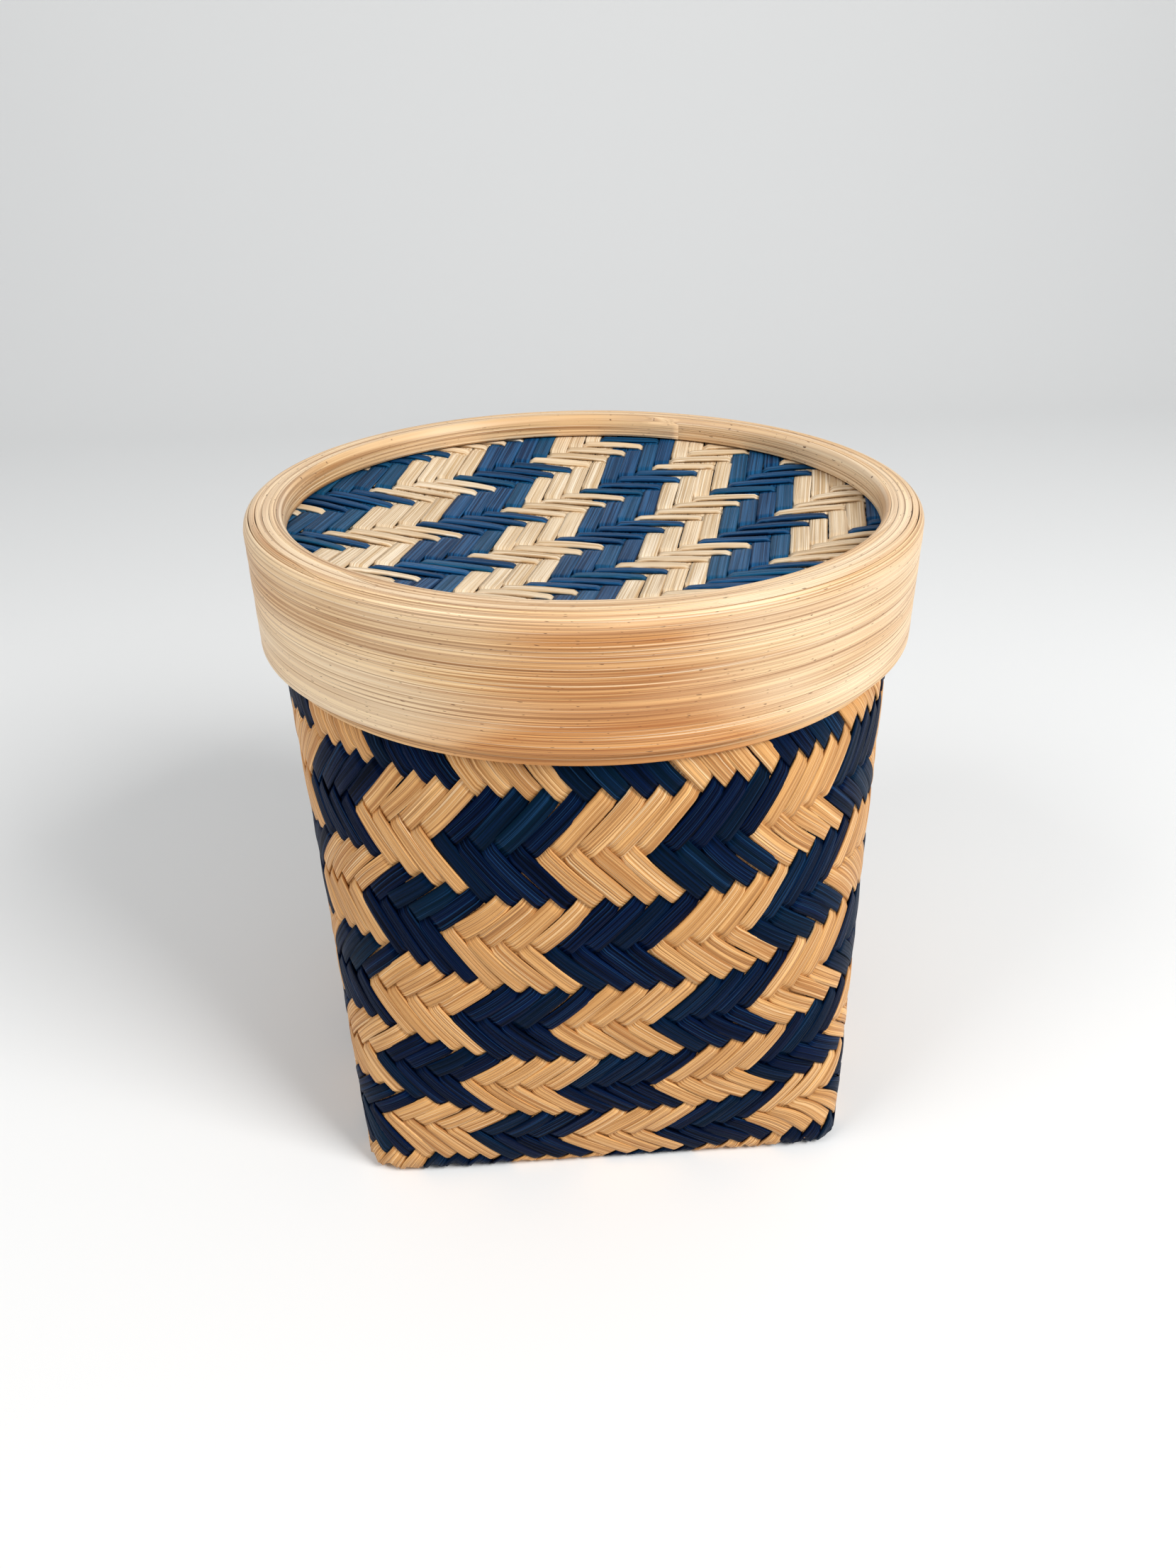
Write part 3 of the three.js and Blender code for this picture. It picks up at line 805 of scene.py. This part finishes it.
def panel_splints(name, along_rows, numbers):
    """Splints along the panel's rows, or down its columns, of one colour."""
    mesh = splint_blanks(name, numbers, panel_steps)
    along, across, number = blank_shares(mesh)
    line = panel_line(number, along_rows)
    run = (2 * along - 1) * np.sqrt(panel_edge_radius**2 - line**2)
    if along_rows:
        ahead = 1
        start = column_zero / panel_pitch - number + row_float_middle
    else:
        ahead = -1
        start = -number - row_zero / panel_pitch + column_float_middle
    run += ahead * panel_pitch * crowded_dips(ahead * run / panel_pitch - start, along)
    offset = ahead * run / panel_pitch - start
    width = row_width_share if along_rows else column_width_share
    width = width * (1 + sway(panel_width_wave, run, number))
    if along_rows:
        width -= row_narrowing * eased(from_float_middle(offset) / row_narrowing_run)
    aside = line + width * across * panel_pitch / 2 + sway(panel_wave, run, number)
    u, v = (run, aside) if along_rows else (aside, run)
    radius = np.hypot(u, v)
    slack = 1 - eased((radius - recess_radius + panel_grip_reach) / panel_grip_run)
    bow = row_bow if along_rows else column_bow
    height, tilt = twill_height(offset, panel_float_reach, bow * slack, number)
    height = outer_face(height, tilt, across, slack)
    dish = panel_sag * (1 - np.minimum(1, radius / recess_radius) ** 2)
    x = u * math.cos(panel_turn) - v * math.sin(panel_turn)
    y = u * math.sin(panel_turn) + v * math.cos(panel_turn)
    places = np.stack([x, y, panel_top - panel_thickness / 2 - dish + height], -1)
    facing = -1 if along_rows else 1
    across_grain = facing * across * width * panel_pitch / 2
    piece = finished_splints(mesh, places, run, across_grain, chance(number, 3 + along_rows))
    if not along_rows:
        piece.data.flip_normals()
    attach(piece, "lid")
    return piece


# The glint colour is that of thin pale lines along the fibres, partly paler fibres and partly painted
# highlight
pale_splint = bamboo(
    "pale_splint",
    deep=(0.61, 0.425, 0.232, 1),
    pale=(0.86, 0.705, 0.505, 1),
    thread=(0.36, 0.20, 0.08, 1),
    other=(0.84, 0.62, 0.38, 1),
    glint=(1, 0.90, 0.74, 1),
    roughness=0.42,
    gloss=0.4,
    shine=(1, 0.95, 0.88, 1),
)
blue_splint = bamboo(
    "blue_splint",
    deep=(0.003, 0.023, 0.070, 1),
    pale=(0.011, 0.091, 0.225, 1),
    thread=(0.001, 0.007, 0.026, 1),
    other=(0.007, 0.092, 0.17, 1),
    glint=(0.03, 0.14, 0.32, 1),
    roughness=0.38,
    gloss=0.2,
    shine=(0.25, 0.55, 1, 1),
)
panel_colours = (("natural", pale_splint, "bamboo_splint"), ("navy", blue_splint, "bamboo_dyed"))
farthest_splint = 20
least_cut = 0.003
for along_rows, word in ((True, "rows"), (False, "columns")):
    for colour, material, slot in panel_colours:
        numbers = []
        for number in range(-farthest_splint, farthest_splint + 1):
            natural = 1 <= number % twill_repeat <= splints_to_colour
            inside = abs(panel_line(number, along_rows)) < panel_edge_radius - least_cut
            if inside and natural == (colour == "natural"):
                numbers.append(number)
        piece = panel_splints(f"panel_splints_{colour}_{word}", along_rows, numbers)
        piece.data.materials.append(material)
        if (word, colour) == ("rows", "natural"):
            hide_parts("lid_woven_panel")

# Floor and backdrop, pale and plain, swept up behind the basket in one curve.
floor_half = 1.6
sweep_start = 0.9
sweep_radius = 0.5
sweep_steps = 24
backdrop_rise = 1.6
paper_colour = (0.84, 0.84, 0.83, 1)
paper_roughness = 0.8


def geometry_of(result, kind):
    """The vertices or the edges that an operator made."""
    return [made for made in result if isinstance(made, kind)]


floor = bmesh.new()
near = [floor.verts.new((x, -floor_half, 0)) for x in (-floor_half, floor_half)]
level = bmesh.ops.extrude_edge_only(floor, edges=[floor.edges.new(near)])["geom"]
back = geometry_of(level, bmesh.types.BMVert)
bmesh.ops.translate(floor, verts=back, vec=(0, floor_half + sweep_start, 0))
curve = bmesh.ops.spin(
    floor, geom=back + geometry_of(level, bmesh.types.BMEdge), cent=(0, sweep_start, sweep_radius),
    axis=(1, 0, 0), angle=math.pi / 2, steps=sweep_steps,
)
curve_end = geometry_of(curve["geom_last"], bmesh.types.BMEdge)
rise = bmesh.ops.extrude_edge_only(floor, edges=curve_end)["geom"]
bmesh.ops.translate(floor, verts=geometry_of(rise, bmesh.types.BMVert), vec=(0, 0, backdrop_rise))
bmesh.ops.recalc_face_normals(floor, faces=floor.faces)
floor_mesh = mesh_of("floor", floor)
floor_mesh.polygons.foreach_set("use_smooth", [True] * len(floor_mesh.polygons))
floor_piece = bpy.data.objects.new("floor", floor_mesh)
bpy.context.scene.collection.objects.link(floor_piece)
paper = bpy.data.materials.new("paper")
paper.use_nodes = True
paper_surface = paper.node_tree.nodes["Principled BSDF"]
paper_surface.inputs["Base Color"].default_value = paper_colour
paper_surface.inputs["Roughness"].default_value = paper_roughness
floor_mesh.materials.append(paper)

# Soft studio light: a large window-like lamp at the upper right, a weaker one at the left, and
# an even grey surround.
surround_grey = (0.93, 0.96, 1.0, 1)
surround_strength = 0.38
world = bpy.data.worlds.new("surround")
bpy.context.scene.world = world
world.use_nodes = True
surround = world.node_tree.nodes["Background"]
surround.inputs["Color"].default_value = surround_grey
surround.inputs["Strength"].default_value = surround_strength


def soft_lamp(name, place, aim, size, power):
    """A square lamp that faces the aim."""
    light = bpy.data.lights.new(name, "AREA")
    light.size = size
    light.energy = power
    lamp = bpy.data.objects.new(name, light)
    lamp.location = place
    lamp.rotation_euler = (Vector(aim) - Vector(place)).to_track_quat("-Z", "Y").to_euler()
    bpy.context.scene.collection.objects.link(lamp)


basket_middle = (0, 0, 0.1)
soft_lamp("key", place=(0.85, -0.7, 1.1), aim=basket_middle, size=0.6, power=20)
soft_lamp("fill", place=(-1.0, -0.5, 1.2), aim=basket_middle, size=0.7, power=9)

# The camera stands where the photograph was taken, a third of a metre from the lid, and looks
# down on it. Its lens gives the photograph's own frame.
photo_height = 2212
focal_pixels = 1640
sensor_width = 36
camera_place = (-0.02344, -0.34528, 0.30569)
camera_turn = (59.088, 0.573, -4.287)
camera_data = bpy.data.cameras.new("camera")
camera_data.sensor_width = sensor_width
camera_data.lens = focal_pixels / photo_height * sensor_width
camera = bpy.data.objects.new("camera", camera_data)
camera.location = camera_place
camera.rotation_euler = tuple(math.radians(angle) for angle in camera_turn)
bpy.context.scene.collection.objects.link(camera)
bpy.context.scene.camera = camera
bpy.context.scene.view_settings.view_transform = "Standard"
